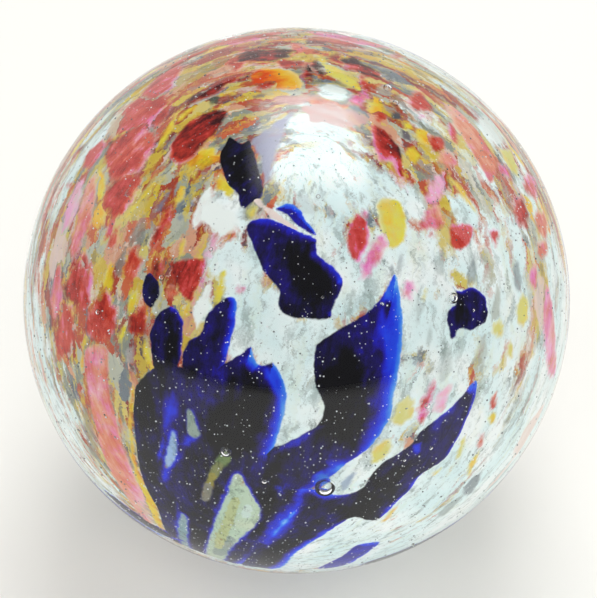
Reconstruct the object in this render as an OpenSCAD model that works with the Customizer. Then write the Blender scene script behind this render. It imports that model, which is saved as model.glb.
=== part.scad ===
// Hand-made glass marble: an opal glass core with coloured glass chips rolled
// flush into its skin, cased in a thick gather of clear glass.
// Millimetres, +Z up, origin at the ball's centre. The front faces -Y.

/* [Ball] */
// Diameter of the opal core under the casing
core_d = 32.8; // [20:0.2:44]
// Thickness of the clear casing over the core
casing_wall = 8.6; // [2:0.1:14]

/* [Chips] */
// Depth that the chips are rolled into the core
chip_depth = 1; // [0.4:0.1:2]
// Least opal left between two small chips
chip_gap = 1.1; // [0.9:0.1:3]
// Corners of one chip's broken outline
chip_corners = 11; // [7:1:16]
// How far a corner strays inwards from the chip's outline, as a share
corner_stray_ratio = 0.2; // [0:0.01:0.3]
// How much narrower a chip's drawn-out end is than its root, as a share
chip_taper = 0.3; // [0:0.05:0.6]
// The smallest of the small chips, as a share of the largest
smallest_chip_ratio = 0.75; // [0.5:0.05:1]
// Seed for the small chips' sizes and for every chip's corners
chip_seed = 11; // [1:1:99]

/* [Red and yellow chips] */
// Length of the largest small red chip along the draw
ruby_length = 4.5; // [3:0.1:8]
// Width of the largest small red chip
ruby_width = 2.8; // [1.5:0.1:4]
// Length of the largest small yellow chip along the draw
amber_length = 4; // [3:0.1:8]
// Width of the largest small yellow chip
amber_width = 2; // [1.2:0.1:4]

/* [Bubbles] */
// Diameter of the largest bubble trapped in the casing
bubble_d = 1.8; // [0.6:0.1:2.4]

/* [Hidden] */

core_r = core_d / 2;
ball_r = core_r + casing_wall;
ball_facets = 128;
core_facets = 96;
bubble_facets = 24;
golden_angle = 137.508;
// On a golden spiral of n places the two closest are 177/sqrt(n) degrees apart.
spiral_angle = 177;
// Of the scattered chips, every third is a yellow one.
amber_turn = 3;
// The chips of each set take their seeds from their own hundred.
seed_step = 100;
// Past the core's skin, so that a cut leaves no film behind
overcut = 0.5;
// A sphere's surface closes along a seam from pole to pole. It is turned to this
// azimuth, at the back, and the scattered chips keep off it and off both poles.
seam_azimuth = 80;
seam_margin_angle = 10;

// The draw: the chips are pulled along circles round this direction, [azimuth, elevation].
draw_pole_angles = [-88, 48];

// Cobalt chips: [azimuth, elevation, lean, length, width], all in degrees of the core.
// Lean turns the drawn-out end from north towards east.
cobalt_chip_angles = [
    [-130, 67, -54, 24, 10], // broken chip beside the top
    [-87, 54, -46, 17, 8],   // crescent over the middle chip
    [-90, 43, -40, 32, 18],  // middle chip
    [-66, 24, 38, 30, 13],   // tip of the flame
    [-75, 8, 16, 38, 23],    // belly of the flame
    [-90, -13, 58, 38, 17],  // foot of the flame
    [-35, 19, 15, 15, 13],   // small chip at the right
    [-141, 31, -15, 10, 7],  // small chip at the left
    [-130, 16, -8, 22, 10],  // first of three lobes at the left
    [-113, 20, 14, 30, 12],  // second
    [-102, 6, 3, 34, 18],    // third
    [-128, -14, 2, 46, 20],  // mass under the lobes
    [-114, -14, 4, 48, 20],
    [-128, -41, 6, 46, 19],
    [-101, -30, 10, 56, 15],
    [-112, -60, 60, 34, 12], // foot of the mass
    [-47, -13, 33, 36, 13],  // long chip, upper end
    [-69, -39, 40, 53, 18],  // long chip, lower end
    [-50, -67, 5, 20, 7],    // sliver near the foot
    [-24, -46, 11, 19, 10],  // pale chip at the right edge
];

// Red chips that stand out by themselves, written as the cobalt ones are
ruby_chip_angles = [
    [-20, 65, 46, 20, 8],    // crimson chip right of the top
    [-64, 52, 25, 13, 6],    // oval in the white field
    [-29, 45, 50, 9, 8],
    [-21, 33, 30, 9, 8],
    [-1, 49, 30, 11, 8],
    [16, 34, 44, 12, 8],
    [-51, 4, 30, 12, 5],     // between the flame and the long chip
    [-176, 62, -34, 14, 10],
    [-128, 38, -45, 12, 8],  // over the lobes at the left
    [-154, 16, 0, 18, 10],
    [-156, -10, -4, 26, 12], // coral band down the left, upper end
    [-156, -34, 4, 32, 12],  // coral band, lower end
];

// Yellow chips that stand out, written the same way
amber_chip_angles = [
    [-133, 53, 60, 10, 6],
    [-47, 50, 24, 12, 6],     // beside the oval
    [-14, 12, 0, 10, 5],
    [-136, -26, 4, 44, 10],  // strip between the cobalt and the coral band
];

// The white field is a patch of the front that the scattered chips leave bare:
// [azimuth, elevation, reach] in degrees.
bare_field_angles = [-58, 14, 48];

// Bubbles: [azimuth, elevation, share of the wall below the skin, share of bubble_d]
bubble_angles_and_ratios = [
    [-84, -21, 0.55, 1],
    [-107, 0, 0.45, 0.5],
    [-100, -8, 0.7, 0.35],
    [-60, 72, 0.25, 0.6],
    [-40, 74, 0.35, 0.4],
    [-118, 46, 0.5, 0.3],
    [-140, 30, 0.6, 0.35],
    [-20, 12, 0.4, 0.3],
    [60, 30, 0.4, 0.45],
    [110, -20, 0.6, 0.5],
    [160, 10, 0.35, 0.3],
    [20, -40, 0.5, 0.4],
];

function direction(azimuth, elevation) =
    [cos(azimuth) * cos(elevation), sin(azimuth) * cos(elevation), sin(elevation)];
function angle_between(a, b) = acos(max(-1, min(1, a * b)));
function east_at(azimuth) = [-sin(azimuth), cos(azimuth), 0];
function north_at(azimuth, elevation) = cross(direction(azimuth, elevation), east_at(azimuth));
function to_arc(angle) = core_r * angle * PI / 180;
function to_angle(arc) = arc / core_r * 180 / PI;

// Small chips lie on a golden spiral over the core, as close together as the longest
// of them allows with a gap between any two.
small_length = max(ruby_length, amber_length);
small_width = max(ruby_width, amber_width);
place_count = floor(pow(spiral_angle / to_angle(max(small_length, small_width) + chip_gap), 2));
function spiral_place(i) =
    [i * golden_angle, asin(1 - 2 * (i + 0.5) / place_count)];

// True where a small chip keeps its gap to a listed chip: its middle lies outside
// that chip's ellipse, grown by half of the small chip, which lies along it, and the gap.
function is_clear_of(place, chip) =
    let (
        keep_along = to_angle(small_length / 2 + chip_gap),
        keep_across = to_angle(small_width / 2 + chip_gap),
        north = north_at(chip[0], chip[1]),
        east = east_at(chip[0]),
        along = asin(place * (north * cos(chip[2]) + east * sin(chip[2]))),
        across = asin(place * (east * cos(chip[2]) - north * sin(chip[2])))
    )
    place * direction(chip[0], chip[1]) < 0
    || norm([along / (chip[3] / 2 + keep_along), across / (chip[4] / 2 + keep_across)]) > 1;
function is_clear(place, list) = min([for (chip = list) is_clear_of(place, chip) ? 1 : 0]) == 1;
function off_the_seam(at) =
    let (
        keep = to_angle(small_length / 2) + seam_margin_angle / 2,
        past_seam = at[0] - seam_azimuth,
        off_pole = 90 - abs(at[1])
    )
    off_pole > keep
    && (cos(past_seam) < 0 || asin(cos(at[1]) * abs(sin(past_seam))) > keep);
function is_free(at) =
    let (place = direction(at[0], at[1]), field = bare_field_angles)
    off_the_seam(at)
    && angle_between(place, direction(field[0], field[1])) > field[2]
    && is_clear(place, concat(cobalt_chip_angles, ruby_chip_angles, amber_chip_angles));
free_places = [for (i = [0 : place_count - 1]) if (is_free(spiral_place(i))) spiral_place(i)];

// Lean of the draw at a place: the heading of the circle round its pole
function draw_lean(azimuth, elevation) =
    let (
        pole = direction(draw_pole_angles[0], draw_pole_angles[1]),
        pull = cross(pole, direction(azimuth, elevation))
    )
    atan2(pull * east_at(azimuth), pull * north_at(azimuth, elevation));

// One chip's outline: an egg drawn out towards +Y, with corners that stray inwards
function chip_outline(length, width, seed) =
    let (stray = rands(1 - corner_stray_ratio, 1, chip_corners, seed))
    [for (i = [0 : chip_corners - 1])
        let (turn = 360 * i / chip_corners)
        stray[i] * [
            -width / 2 * sin(turn) * (1 - chip_taper * cos(turn)),
            length / 2 * cos(turn)
        ]];

// A prism that stands in the core at a place and holds one chip's outline
module chip_prism(azimuth, elevation, lean, length, width, seed) {
    rotate([0, 90 - elevation, azimuth])
        rotate([0, 0, 90 - lean])
            translate([0, 0, core_r / 2])
                linear_extrude(core_r / 2 + overcut)
                    polygon(chip_outline(length, width, seed));
}

module listed_prisms(list, seed) {
    for (i = [0 : len(list) - 1])
        let (c = list[i])
            chip_prism(c[0], c[1], c[2], to_arc(c[3]), to_arc(c[4]), seed + i);
}

// Of the free places, each amber_turn-th holds a yellow chip, and the rest red ones.
module scattered_prisms(is_amber, length, width, seed) {
    size = rands(smallest_chip_ratio, 1, len(free_places), chip_seed);
    for (i = [0 : len(free_places) - 1])
        if ((i % amber_turn == 0) == is_amber)
            let (at = free_places[i])
                chip_prism(at[0], at[1], draw_lean(at[0], at[1]),
                    length * size[i], width * size[i], seed + i);
}

module cobalt_prisms() {
    listed_prisms(cobalt_chip_angles, chip_seed);
}

module ruby_prisms() {
    listed_prisms(ruby_chip_angles, chip_seed + seed_step);
    scattered_prisms(false, ruby_length, ruby_width, chip_seed + 2 * seed_step);
}

module amber_prisms() {
    listed_prisms(amber_chip_angles, chip_seed + 3 * seed_step);
    scattered_prisms(true, amber_length, amber_width, chip_seed + 4 * seed_step);
}

// A ball about the core's centre, with its seam at the back
module core_ball(radius) {
    rotate([0, 0, seam_azimuth])
        sphere(radius, $fn = core_facets);
}

// The skin of the core that the chips are rolled into, up to an outer radius
module core_skin(outer_r) {
    difference() {
        core_ball(outer_r);
        core_ball(core_r - chip_depth);
    }
}

// Clear casing, with the bubbles that its gather trapped
module clear_casing() {
    color([0.93, 0.97, 0.96, 0.3])
        difference() {
            sphere(ball_r, $fn = ball_facets);
            core_ball(core_r);
            for (b = bubble_angles_and_ratios)
                translate(direction(b[0], b[1]) * (ball_r - casing_wall * b[2]))
                    sphere(d = bubble_d * b[3], $fn = bubble_facets);
        }
}

// Beds for a set of chips, which run out past the core's skin
module chip_beds() {
    intersection() {
        core_skin(core_r + overcut);
        union() children();
    }
}

// Opal glass, with a bed cut for every chip
module opal_core() {
    color([0.9, 0.96, 0.95])
        difference() {
            core_ball(core_r);
            chip_beds() cobalt_prisms();
            chip_beds() ruby_prisms();
            chip_beds() amber_prisms();
        }
}

module cobalt_chips() {
    color([0.08, 0.1, 0.55])
        intersection() {
            core_skin(core_r);
            union() cobalt_prisms();
        }
}

// Where chips meet, the darker glass lies over the lighter one.
module ruby_chips() {
    color([0.78, 0.13, 0.12])
        difference() {
            intersection() {
                core_skin(core_r);
                union() ruby_prisms();
            }
            cobalt_prisms();
        }
}

module amber_chips() {
    color([0.93, 0.75, 0.2])
        difference() {
            intersection() {
                core_skin(core_r);
                union() amber_prisms();
            }
            cobalt_prisms();
            ruby_prisms();
        }
}

clear_casing();
opal_core();
cobalt_chips();
ruby_chips();
amber_chips();
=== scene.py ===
from math import asin, cos, degrees, pi, radians, sin, sqrt, tan

import bmesh
import bpy
import numpy as np
from mathutils import Matrix, Vector, noise
from mathutils.bvhtree import BVHTree


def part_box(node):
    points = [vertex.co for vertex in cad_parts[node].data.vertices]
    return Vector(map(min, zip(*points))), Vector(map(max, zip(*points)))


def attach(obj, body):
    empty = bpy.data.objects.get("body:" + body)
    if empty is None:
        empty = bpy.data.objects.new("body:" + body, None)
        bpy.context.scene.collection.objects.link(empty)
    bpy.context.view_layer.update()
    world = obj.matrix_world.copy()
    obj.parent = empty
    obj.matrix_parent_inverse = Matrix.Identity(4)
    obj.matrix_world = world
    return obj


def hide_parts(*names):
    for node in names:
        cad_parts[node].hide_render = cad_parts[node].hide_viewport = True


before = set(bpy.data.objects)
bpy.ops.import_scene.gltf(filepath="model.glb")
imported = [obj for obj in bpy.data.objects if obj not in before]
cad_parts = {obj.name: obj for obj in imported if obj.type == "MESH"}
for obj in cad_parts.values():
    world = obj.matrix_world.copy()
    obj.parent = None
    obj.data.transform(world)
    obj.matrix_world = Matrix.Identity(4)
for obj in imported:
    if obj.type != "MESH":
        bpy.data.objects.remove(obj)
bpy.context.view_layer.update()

# ---------------------------------------------------------------- opal core
# The core is a gather of opal glass, rolled round on a steel plate, drawn down to a point and
# turned over at the top, so its smoke and its fine frit lie in lines that wrap round two crowns
# and run together at one tail. It is fused inside the casing and nothing else holds it.
MM = 0.001
CORE_R = (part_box("opal_core")[1].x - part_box("opal_core")[0].x) / 2 / MM
BALL_R = (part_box("clear_casing")[1].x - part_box("clear_casing")[0].x) / 2 / MM
CORE_CUTS = 7
# The plate left the core a little flat behind the top: by this share of its radius in the middle,
# and by less up to 49 degrees out, where the cosine has fallen by the spread.
FLAT_DEPTH = 0.014
FLAT_SPREAD = 0.35


def direction(azimuth, height):
    """The way to a place on the ball, from its azimuth and its height in degrees."""
    a, h = radians(azimuth), radians(height)
    return np.array([cos(h) * cos(a), cos(h) * sin(a), sin(h)])


TAIL = direction(-123.7, -65.7)
CROWN = direction(-86.5, 74.9)
FAR_CROWN = direction(90, -20)
FLAT_SIDE = direction(90, 32)


def linear(colour):
    """A colour written as sRGB hex, as the linear RGBA that sockets take."""
    parts = [int(colour[i : i + 2], 16) / 255 for i in (1, 3, 5)]
    return [c / 12.92 if c <= 0.04045 else ((c + 0.055) / 1.055) ** 2.4 for c in parts] + [1.0]


def add(nodes, kind, inputs=None, stops=(), **settings):
    """Adds a node: its settings, the values or sockets that feed it, and a ramp's (place, colour) stops.
    A ramp has two stops from the start, so its ends are set before the stops between them."""
    node = nodes.new("ShaderNode" + kind)
    for name, value in settings.items():
        setattr(node, name, value)
    for name, value in (inputs or {}).items():
        if isinstance(value, bpy.types.NodeSocket):
            nodes.id_data.links.new(value, node.inputs[name])
        else:
            node.inputs[name].default_value = value
    for i, (place, colour) in enumerate([*stops[:1], *stops[-1:], *stops[1:-1]]):
        spots = node.color_ramp.elements
        spot = spots[i] if i < 2 else spots.new(place)
        spot.position, spot.color = place, linear(colour)
    return node


def flow(points, sides=None):
    """Where points on the ball lie in the drawn glass: how far along the draw, how far across it, and on
    which side of the crowns. The lines of the draw are hyperbolas round the two crowns, on a plane that
    has the tail at infinity. One unit is about 20 mm on the near side, and a third of that by the tail."""
    east = np.cross(TAIL, (0, 0, 1))
    east = east / np.linalg.norm(east)
    north = np.cross(TAIL, east)

    def plane(p):
        p = p / np.linalg.norm(p, axis=-1, keepdims=True)
        return (p @ east + 1j * (p @ north)) / np.maximum(1 - p @ TAIL, 1e-6)

    near, far = plane(CROWN), plane(FAR_CROWN)
    spot = (2 * plane(points) - near - far) / (near - far)
    if sides is None:
        sides = np.sign(spot.imag)
    bend = np.arccosh(spot + 0j)
    return sides * bend.real, np.abs(bend.imag), np.sign(spot.imag)


# The camera looks down at the ball from so many degrees up and millimetres away, and the ball's
# middle and radius lie in its frame at these pixels. What is seen past this share of the radius
# counts as seen there. The casing bends the sight line by its index.
EYE_RISE = 35.0
EYE_FAR = 300.0
BALL_X, BALL_Y, BALL_PX = 296.5, 300.5, 273.0
RIM_SHARE = 0.985
GLASS_IOR = 1.52
EYE = np.array([0, -cos(radians(EYE_RISE)), sin(radians(EYE_RISE))])
EYE_UP = np.array([0, sin(radians(EYE_RISE)), cos(radians(EYE_RISE))])
FOCAL_PX = BALL_PX / tan(asin(BALL_R / EYE_FAR))


def seen_at(x, y):
    """The way to the place on the core that is seen, through the casing, at a pixel of the frame."""
    off = max(1.0, sqrt((x - BALL_X) ** 2 + (y - BALL_Y) ** 2) / (RIM_SHARE * BALL_PX))
    x, y = BALL_X + (x - BALL_X) / off, BALL_Y + (y - BALL_Y) / off
    ray = np.array([(x - BALL_X) / FOCAL_PX, 0, 0]) - EYE_UP * (y - BALL_Y) / FOCAL_PX - EYE
    ray = ray / np.linalg.norm(ray)

    def meet(start, way, radius):
        mid = start @ way
        return start + way * (-mid - sqrt(max(0.0, mid * mid - start @ start + radius * radius)))

    skin = meet(EYE * EYE_FAR, ray, BALL_R)
    normal = skin / np.linalg.norm(skin)
    cosine, ratio = -normal @ ray, 1 / GLASS_IOR
    inside = ratio * ray + (ratio * cosine - sqrt(1 - ratio * ratio * (1 - cosine * cosine))) * normal
    spot = meet(skin, inside, CORE_R)
    return spot / np.linalg.norm(spot)


# Where the opal is bare of fine frit: (pixel x, pixel y, radius in pixels, how bare) on the near side,
# and (azimuth, height, radius in degrees) on the far side. A field fades out round its rim.
NEAR_FIELDS = [
    (325, 175, 62, 1), (300, 240, 55, 1), (372, 190, 34, 1), (372, 262, 42, 1), (402, 205, 30, 1),
    (420, 265, 48, 1), (455, 330, 62, 1), (412, 325, 44, 1), (400, 400, 60, 1), (300, 350, 60, 1),
    (262, 318, 40, 1), (223, 212, 28, 1), (352, 282, 50, 1), (246, 272, 26, 1), (203, 308, 14, 1),
    (300, 420, 60, 1), (318, 388, 40, 1), (430, 470, 60, 1), (370, 455, 54, 1), (350, 530, 60, 1),
    (250, 500, 50, 1), (205, 450, 70, 1), (192, 528, 40, 1), (318, 128, 40, 1), (466, 214, 24, 1),
    (490, 134, 22, 1), (333, 92, 18, 1), (484, 404, 56, 1), (492, 470, 80, 1), (430, 535, 120, 1),
    (335, 552, 90, 1), (236, 520, 90, 1), (508, 250, 66, 0.68), (505, 320, 80, 0.85), (100, 130, 45, 0.6),
    (62, 190, 50, 0.5), (430, 116, 40, 0.5), (462, 258, 30, 1), (226, 264, 28, 1), (238, 292, 28, 1),
    (246, 334, 30, 1), (345, 488, 40, 1), (545, 400, 130, 1), (470, 440, 70, 1), (420, 500, 80, 1),
    (440, 400, 50, 1), (255, 560, 90, 1), (522, 180, 54, 0.6), (466, 100, 56, 0.5), (476, 165, 40, 0.5),
    (30, 250, 60, 0.5), (34, 330, 80, 0.62), (56, 410, 90, 0.66), (92, 480, 80, 0.6), (150, 540, 60, 0.5),
    (380, 50, 50, 0.4), (556, 270, 60, 0.7),
]
FAR_FIELDS = [(100, -38, 30), (35, -62, 22), (150, -50, 18), (70, 12, 16)]
DEGREES_PER_PX = 0.21
FIELD_FADE = 1.5


def frit_share(points):
    """How thick the fine frit lies at points on the ball, from none in the middle of a bare field."""
    points = points / np.maximum(np.linalg.norm(points, axis=-1, keepdims=True), 1e-9)
    fields = [(seen_at(x, y), DEGREES_PER_PX * r, share) for x, y, r, share in NEAR_FIELDS]
    fields += [(direction(azimuth, height), r, 1) for azimuth, height, r in FAR_FIELDS]
    bare = 0
    for middle, radius, share in fields:
        off = np.degrees(np.arccos(np.clip(points @ middle, -1, 1)))
        bare = np.maximum(bare, share * np.clip(FIELD_FADE - off / radius, 0, 1))
    return 1 - bare


def placed(name, built):
    """Makes a finished bmesh an object at the origin."""
    mesh = bpy.data.meshes.new(name)
    built.to_mesh(mesh)
    built.free()
    piece = bpy.data.objects.new(name, mesh)
    bpy.context.scene.collection.objects.link(piece)
    return piece


def dress(name, built):
    """Makes a finished bmesh a smooth piece with the two patterns that the glass colours read: "draw", the
    place in the drawn glass, and "frit", how thick the fine frit lies there."""
    piece = placed(name, built)
    mesh = piece.data
    mesh.shade_smooth()
    co = np.zeros(len(mesh.vertices) * 3)
    mesh.vertices.foreach_get("co", co)
    co = co.reshape(-1, 3)
    corners = np.zeros(len(mesh.loops), int)
    mesh.loops.foreach_get("vertex_index", corners)
    counts = np.zeros(len(mesh.polygons), int)
    mesh.polygons.foreach_get("loop_total", counts)
    starts = np.concatenate(([0], np.cumsum(counts)[:-1]))
    middles = np.add.reduceat(co[corners], starts, axis=0) / counts[:, None]
    sides = np.repeat(flow(middles)[2], counts)
    along, across, _ = flow(co[corners], sides)
    drawn = mesh.attributes.new("draw", "FLOAT_VECTOR", "CORNER")
    drawn.data.foreach_set("vector", np.stack([along, across, 0 * along], -1).ravel().astype(np.float32))
    frit = mesh.attributes.new("frit", "FLOAT", "POINT")
    frit.data.foreach_set("value", frit_share(co).astype(np.float32))
    return piece


OPAL_WHITES = [(0.35, "#e0f6f7"), (0.5, "#ebfbfb"), (0.65, "#f8fffe")]
# Smoke drawn out in the opal, from yellowish clouds to dark veins: (colour, cells to a unit of the
# draw along it and across it, seed, noise at which it starts and at which it is full, its most).
OPAL_SMOKE = [
    ("#d9daa6", 3, 11, 41, 0.52, 0.7, 0.3), ("#90a5a2", 5, 12, 77, 0.54, 0.66, 0.7),
    ("#6c7f79", 9, 30, 3, 0.56, 0.7, 0.8),
]
# Frit is crushed glass. Its larger grains are drawn to 3 by 1.4 mm and the fine ones to 1.4 by 0.6 mm,
# in patches, with slate and yellow threads half a millimetre wide between them.
LARGE_GRAINS = [
    (0.0, "#a9442f"), (0.13, "#cf6c48"), (0.24, "#8e9488"), (0.37, "#d2b548"), (0.48, "#bcc0b0"),
    (0.58, "#c05a40"), (0.7, "#78828a"), (0.78, "#d8a284"), (0.87, "#d9c87c"), (0.95, "#8f3c38"),
]
FINE_GRAINS = [
    (0.0, "#d8c448"), (0.16, "#b4503a"), (0.28, "#a6ac9a"), (0.4, "#dccc60"), (0.53, "#58606a"),
    (0.64, "#b24a38"), (0.75, "#dedace"), (0.9, "#a4aaa2"),
]
FRIT_THREADS = [("#525c66", 16, 40, 11, 0.57, 0.7, 0.75), ("#dfcc60", 8, 30, 23, 0.55, 0.66, 0.7)]


def opal_ground(nodes):
    """The colour of the bare core: mint-white opal with grey smoke in it, and frit between the bare
    fields. The noise scales are counts to the metre, so 420 makes swirls of 2.4 mm and 4200 a grain of
    0.24 mm, which breaks up the edges and is about the finest that shows."""
    place = add(nodes, "TexCoord").outputs["Object"]
    draw = add(nodes, "Attribute", attribute_name="draw").outputs["Vector"]
    frit = add(nodes, "Attribute", attribute_name="frit").outputs["Fac"]
    for scale, detail, roughness, reach in ((420, 7, 0.62, 0.13), (4200, 2, 0.5, 0.035)):
        sway = add(nodes, "TexNoise", {"Vector": place, "Scale": scale, "Detail": detail,
                                       "Roughness": roughness})
        sway = add(nodes, "VectorMath", {0: sway.outputs["Color"], 1: (0.5, 0.5, 0.5)}, operation="SUBTRACT")
        sway = add(nodes, "VectorMath", {0: sway.outputs[0], "Scale": reach}, operation="SCALE")
        draw = add(nodes, "VectorMath", {0: draw, 1: sway.outputs[0]}).outputs[0]

    def stretched(along, across, seed=0):
        return add(nodes, "VectorMath", {0: draw, 1: (along, across, 1), 2: (seed, seed, seed)},
                   operation="MULTIPLY_ADD").outputs[0]

    def threads(along, across, seed, start, full, most):
        found = add(nodes, "TexNoise", {"Vector": stretched(along, across, seed), "Scale": 1, "Detail": 4,
                                        "Roughness": 0.65})
        return add(nodes, "MapRange", {"Value": found.outputs["Fac"], "From Min": start, "From Max": full,
                                       "To Max": most}).outputs[0]

    def grains(along, across, palette):
        found = add(nodes, "TexVoronoi", {"Vector": stretched(along, across), "Scale": 1})
        pick = add(nodes, "SeparateColor", {"Color": found.outputs["Color"]})
        ramp = add(nodes, "ValToRGB", {"Fac": pick.outputs["Red"]}, palette)
        ramp.color_ramp.interpolation = "CONSTANT"
        return ramp.outputs["Color"]

    def laid(under, over, share):
        return add(nodes, "Mix", {"Factor": share, "A": under, "B": over}, data_type="RGBA").outputs["Result"]

    clouds = add(nodes, "TexNoise", {"Vector": place, "Scale": 260, "Detail": 2})
    opal = add(nodes, "ValToRGB", {"Fac": clouds.outputs["Fac"]}, OPAL_WHITES).outputs["Color"]
    for colour, *cells in OPAL_SMOKE:
        opal = laid(opal, linear(colour), threads(*cells))
    fleck = add(nodes, "TexNoise", {"Vector": place, "Scale": 2400, "Detail": 4, "Roughness": 0.7})
    fleck = add(nodes, "MapRange", {"Value": fleck.outputs["Fac"], "From Min": 0.57, "From Max": 0.7,
                                    "To Max": 0.4}).outputs[0]
    opal = laid(opal, linear("#85958f"), fleck)

    fine_patches = threads(4, 10, 31, 0.47, 0.57, 0.75)
    warm = laid(grains(6, 14, LARGE_GRAINS), grains(14, 34, FINE_GRAINS), fine_patches)
    for colour, *cells in FRIT_THREADS:
        warm = laid(warm, linear(colour), threads(*cells))
    edge = add(nodes, "Math", {0: threads(4, 12, 57, 0.3, 0.7, 1.0), 1: frit}).outputs[0]
    edge = add(nodes, "MapRange", {"Value": edge, "From Min": 0.85, "From Max": 1.2}).outputs[0]
    return laid(opal, warm, edge)


def bare_material(name):
    """A new material with nothing in it yet, and its nodes."""
    material = bpy.data.materials.new(name)
    material.use_nodes = True
    material.node_tree.nodes.clear()
    return material, material.node_tree.nodes


def cased_glass(name, colour_of):
    """A coloured glass under the casing. Glass lies on glass of the same index there, so no light is
    turned back where they meet: it shows its colour, and has no shine of its own."""
    material, nodes = bare_material(name)
    body = add(nodes, "BsdfPrincipled", {"Base Color": colour_of(nodes), "Roughness": 0.6,
                                         "Specular IOR Level": 0.0})
    add(nodes, "OutputMaterial", {"Surface": body.outputs[0]})
    return material


gather = bmesh.new()
bmesh.ops.create_icosphere(gather, subdivisions=CORE_CUTS, radius=CORE_R * MM)
for vert in gather.verts:
    facing = vert.co.normalized().dot(Vector(FLAT_SIDE))
    vert.co *= 1 - FLAT_DEPTH * max(0.0, (facing - 1 + FLAT_SPREAD) / FLAT_SPREAD) ** 1.5
core = dress("opal_core_gather", gather)
# Opal soda-lime: milky and mint-white, with smoke where the batch was stirred.
core.data.materials.append(cased_glass("opal_glass_smoked", opal_ground))
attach(core, "root")
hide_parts("opal_core")

# ------------------------------------------------------------ cobalt chips
# Chips of cobalt glass, picked up hot by rolling the core over them and pressed in flush. Each is
# a wedge: near black where it is thick, and azure where it thins out, mostly at its upper right.

# A chip is a fine mesh laid on the core, in cells of this size in millimetres. It slopes up from the
# core's skin to its own layer, so that chips that overlap don't meet, and is sunk in by half a millimetre.
# Mostly the cobalt lies over the ruby, the ruby over the amber, and that over the trails.
CHIP_CELL = 0.2
COBALT_CELL = 0.13
CHIP_SINK = 0.5
CHIP_SLOPE = 0.2
LAYER = 0.004
LAYER_STEP = 0.1
COBALT_LAYER = 15.6
# The mesh starts three cells past the outline, and is trimmed where the chip can't hide anything.
MARGIN_CELLS = 3
TRIM_CELLS = 1.6
# An edge counts as thin from 86 degrees off the thin side, and is as thin as it gets at 38 degrees.
SIDE_GAIN, SIDE_LOSS = 1.4, 0.1
LEAST_REACH = 0.5
# How uneven the heat left the edges of thick places and of gaps, and how wide a gap's edge is.
DENT_RAGGED = 0.14
GAP_RAGGED = 0.1
GAP_FADE = 0.25


def local(points, centre, east, north):
    """Points on the core as a flat map round a centre, in millimetres of arc."""
    points = points / np.linalg.norm(points, axis=1, keepdims=True)
    turn = np.arccos(np.clip(points @ centre, -1, 1))
    flat = np.stack([points @ east, points @ north], 1)
    size = np.maximum(np.linalg.norm(flat, axis=1), 1e-9)
    return flat / size[:, None] * (turn * CORE_R)[:, None]


def on_core(flat, centre, east, north):
    """The flat map's points back on the core, as directions."""
    far = np.linalg.norm(flat, axis=1)
    turn = far / CORE_R
    away = (flat[:, :1] * east + flat[:, 1:] * north) / np.maximum(far, 1e-9)[:, None]
    return np.cos(turn)[:, None] * centre + np.sin(turn)[:, None] * away


def axes_at(centre):
    """East and north on the core's skin."""
    east = np.cross((0, 0, 1), centre)
    east = east / np.linalg.norm(east)
    return east, np.cross(centre, east)


def rounded(loop):
    """A closed line through the corners, without its kinks, in six steps from each to the next."""
    steps = 6
    before, after, later = np.roll(loop, 1, 0), np.roll(loop, -1, 0), np.roll(loop, -2, 0)
    out = []
    for i in range(steps):
        t = i / steps
        out.append(0.5 * (2 * loop + (after - before) * t + (2 * before - 5 * loop + 4 * after - later) * t**2
                          + (3 * loop - before - 3 * after + later) * t**3))
    return np.stack(out, 1).reshape(-1, 2)


def depth_inside(points, loop):
    """How far inside a closed line each point is, and the way to its nearest edge."""
    ends = np.roll(loop, -1, 0)
    span = ends - loop
    gap = points[:, None] - loop
    share = np.clip((gap * span).sum(2) / np.maximum((span**2).sum(1), 1e-12), 0, 1)
    off = loop + share[..., None] * span - points[:, None]
    far = np.linalg.norm(off, axis=2)
    near = far.argmin(1)
    rows = np.arange(len(points))
    y, x = points[:, 1:], points[:, :1]
    crosses = (loop[:, 1] > y) != (ends[:, 1] > y)
    run = loop[:, 0] + (y - loop[:, 1]) * span[:, 0] / np.where(span[:, 1] == 0, 1e-12, span[:, 1])
    inside = (crosses & (x < run)).sum(1) % 2 == 1
    away = off[rows, near] / np.maximum(far[rows, near], 1e-9)[:, None]
    return np.where(inside, 1, -1) * far[rows, near], np.where(inside[:, None], away, -away)


def frayed(points):
    """How far the heat pushed a chip's edge out or in at points on the core, as a share of its most, in
    waves of 0.7, 0.3 and 0.1 mm."""
    return np.array([noise.noise(spot * 22) + 0.6 * noise.noise(spot * 60) + 0.4 * noise.noise(spot * 130)
                     for spot in map(Vector, points)])


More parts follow.
